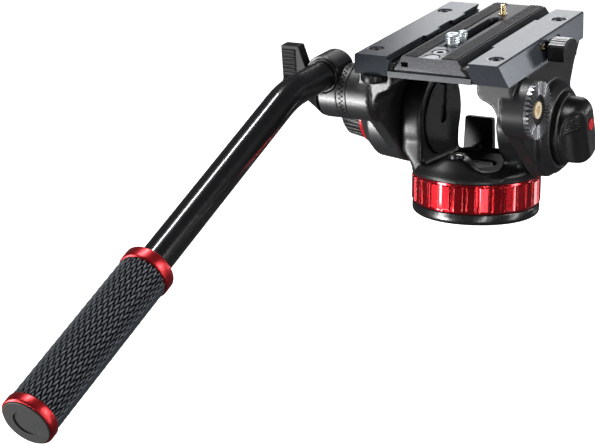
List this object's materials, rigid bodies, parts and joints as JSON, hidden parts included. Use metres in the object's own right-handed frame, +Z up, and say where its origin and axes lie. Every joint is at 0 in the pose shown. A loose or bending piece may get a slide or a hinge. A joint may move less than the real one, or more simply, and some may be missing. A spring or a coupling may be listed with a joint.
{
  "type": "fluid video head",
  "caption": "Flat-base fluid video tripod head with pan and tilt drag, a long sliding camera plate, tilt lock, counterbalance arms and a bent pan bar with a rubber grip.",
  "frame": {"origin": "middle of the tripod thread's mouth in the underside of the base", "axes": "+Z up along the pan axis, +X along the tilt axis to the tilt lock knob's side, +Y the way the lens points"},
  "size_m": [0.2078, 0.4755, 0.199],
  "materials": {
    "black_metal": "fine-textured matt black paint",
    "dark_metal": "satin dark grey coating",
    "light_metal": "machined satin",
    "grey_metal": "satin grey coating",
    "steel": "bright",
    "brass": "turned",
    "red_plastic": "satin red",
    "red_metal": "red anodised",
    "black_plastic": "fine matt",
    "grey_plastic": "satin",
    "rubber": "matt",
    "glass": "clear vial"
  },
  "bodies": {
    "base": {"base_cup": "black_metal", "tripod_bush": "brass", "base_screws": "steel", "pan_drag_unit": "dark_metal", "pan_spindle": "steel", "pan_nut": "steel", "thrust_washer": "black_plastic"},
    "drag_ring": {"pan_drag_ring": "red_metal"},
    "pan_body": {"pan_housing": "black_metal", "level_bezel": "light_metal", "level_vial": "glass", "left_arm_cover": "black_metal", "right_arm_cover": "black_metal", "arm_cover_screws": "steel", "tilt_drag_cartridge": "dark_metal", "balance_unit": "dark_metal"},
    "pan_lock": {"pan_lock_lever": "black_plastic"},
    "tilt_body": {"left_tilt_shaft": "steel", "right_tilt_shaft": "steel", "left_cheek": "dark_metal", "right_cheek": "dark_metal", "cheek_screws": "steel", "platform_plate": "grey_metal", "left_end_block": "black_plastic", "left_rail": "dark_metal", "right_rail": "dark_metal", "rail_screws": "steel", "plate_guide": "black_plastic", "lever_pin": "steel", "button_collar": "steel", "left_rosette": "dark_metal", "right_rosette": "dark_metal", "left_insert": "brass", "right_insert": "brass"},
    "gib": {"plate_gib": "black_plastic"},
    "plate_lever": {"plate_lock_lever": "black_plastic"},
    "button": {"release_button": "brass"},
    "lock_knob": {"tilt_lock_knob": "black_plastic", "tilt_lock_cap": "red_plastic"},
    "drag_knob": {"tilt_drag_red": "red_plastic", "tilt_drag_knob": "black_plastic"},
    "camera_plate": {"sliding_plate": "dark_metal", "plate_strip": "light_metal", "plate_pads": "rubber", "video_pin": "brass"},
    "large_clip": {"large_screw_clip": "steel"},
    "large_screw": {"large_camera_screw": "steel"},
    "small_clip": {"small_screw_clip": "steel"},
    "small_screw": {"small_camera_screw": "steel"},
    "pan_bar": {"bar_clamp": "black_metal", "clamp_spacer": "black_plastic", "bar_rosette": "dark_metal", "bar_tube": "black_metal", "tube_collar": "black_plastic", "grip": "rubber", "upper_grip_ring": "red_metal", "lower_grip_ring": "red_metal", "end_cap": "grey_plastic"},
    "bar_knob": {"clamp_knob": "black_plastic", "clamp_bolt": "steel"}
  },
  "joints": [
    {"name": "pan_drag", "type": "hinge", "parent": "base", "child": "drag_ring", "pos_m": [0, 0, 0.018], "axis": [0, 0, 1], "range_deg": [0, 270]},
    {"name": "pan", "type": "hinge", "parent": "base", "child": "pan_body", "pos_m": [0, 0, 0.03], "axis": [0, 0, 1], "continuous": true},
    {"name": "pan_lock_turn", "type": "hinge", "parent": "pan_body", "child": "pan_lock", "pos_m": [-0.02, 0.045, 0.0336], "axis": [0, 1, 0], "range_deg": [0, 75]},
    {"name": "tilt", "type": "hinge", "parent": "pan_body", "child": "tilt_body", "pos_m": [0, 0, 0.066], "axis": [1, 0, 0], "range_deg": [-77, 83]},
    {"name": "lock_lever_turn", "type": "hinge", "parent": "tilt_body", "child": "plate_lever", "pos_m": [0.0494, 0.00719, 0.1223], "axis": [0, -0.1219, 0.9925], "range_deg": [0, 60]},
    {"name": "gib_slide", "type": "slide", "parent": "tilt_body", "child": "gib", "axis": [1, 0, 0], "range_m": [0, 0.0008]},
    {"name": "button_press", "type": "slide", "parent": "tilt_body", "child": "button", "axis": [-1, 0, 0], "range_m": [0, 0.0016], "stiffness_N_per_m": 150},
    {"name": "tilt_lock_turn", "type": "hinge", "parent": "tilt_body", "child": "lock_knob", "pos_m": [0.07, 0, 0.066], "axis": [1, 0, 0], "range_deg": [0, 120]},
    {"name": "tilt_drag_turn", "type": "hinge", "parent": "tilt_body", "child": "drag_knob", "pos_m": [-0.09, 0, 0.066], "axis": [1, 0, 0], "range_deg": [0, 270]},
    {"name": "plate_slide", "type": "slide", "parent": "tilt_body", "child": "camera_plate", "axis": [0, 0.9925, 0.1219], "range_m": [-0.045, 0.045]},
    {"name": "large_screw_slide", "type": "slide", "parent": "camera_plate", "child": "large_clip", "axis": [0, 0.9925, 0.1219], "range_m": [-0.0024, 0.0006]},
    {"name": "large_screw_turn", "type": "hinge", "parent": "large_clip", "child": "large_screw", "pos_m": [0, -0.04253, 0.12022], "axis": [0, -0.1219, 0.9925], "continuous": true},
    {"name": "small_screw_slide", "type": "slide", "parent": "camera_plate", "child": "small_clip", "axis": [0, 0.9925, 0.1219], "range_m": [-0.0006, 0.053]},
    {"name": "small_screw_turn", "type": "hinge", "parent": "small_clip", "child": "small_screw", "pos_m": [0, -0.02674, 0.12216], "axis": [0, -0.1219, 0.9925], "continuous": true},
    {"name": "bar_turn", "type": "hinge", "parent": "tilt_body", "child": "pan_bar", "pos_m": [-0.0692, -0.05398, 0.08798], "axis": [1, 0, 0], "range_deg": [-120, 60]},
    {"name": "bar_knob_turn", "type": "hinge", "parent": "pan_bar", "child": "bar_knob", "pos_m": [-0.11, -0.05398, 0.08798], "axis": [1, 0, 0], "continuous": true}
  ],
  "couplings": [
    {"joint": "gib_slide", "follows": "lock_lever_turn", "m_per_rad": 0.00076}
  ]
}
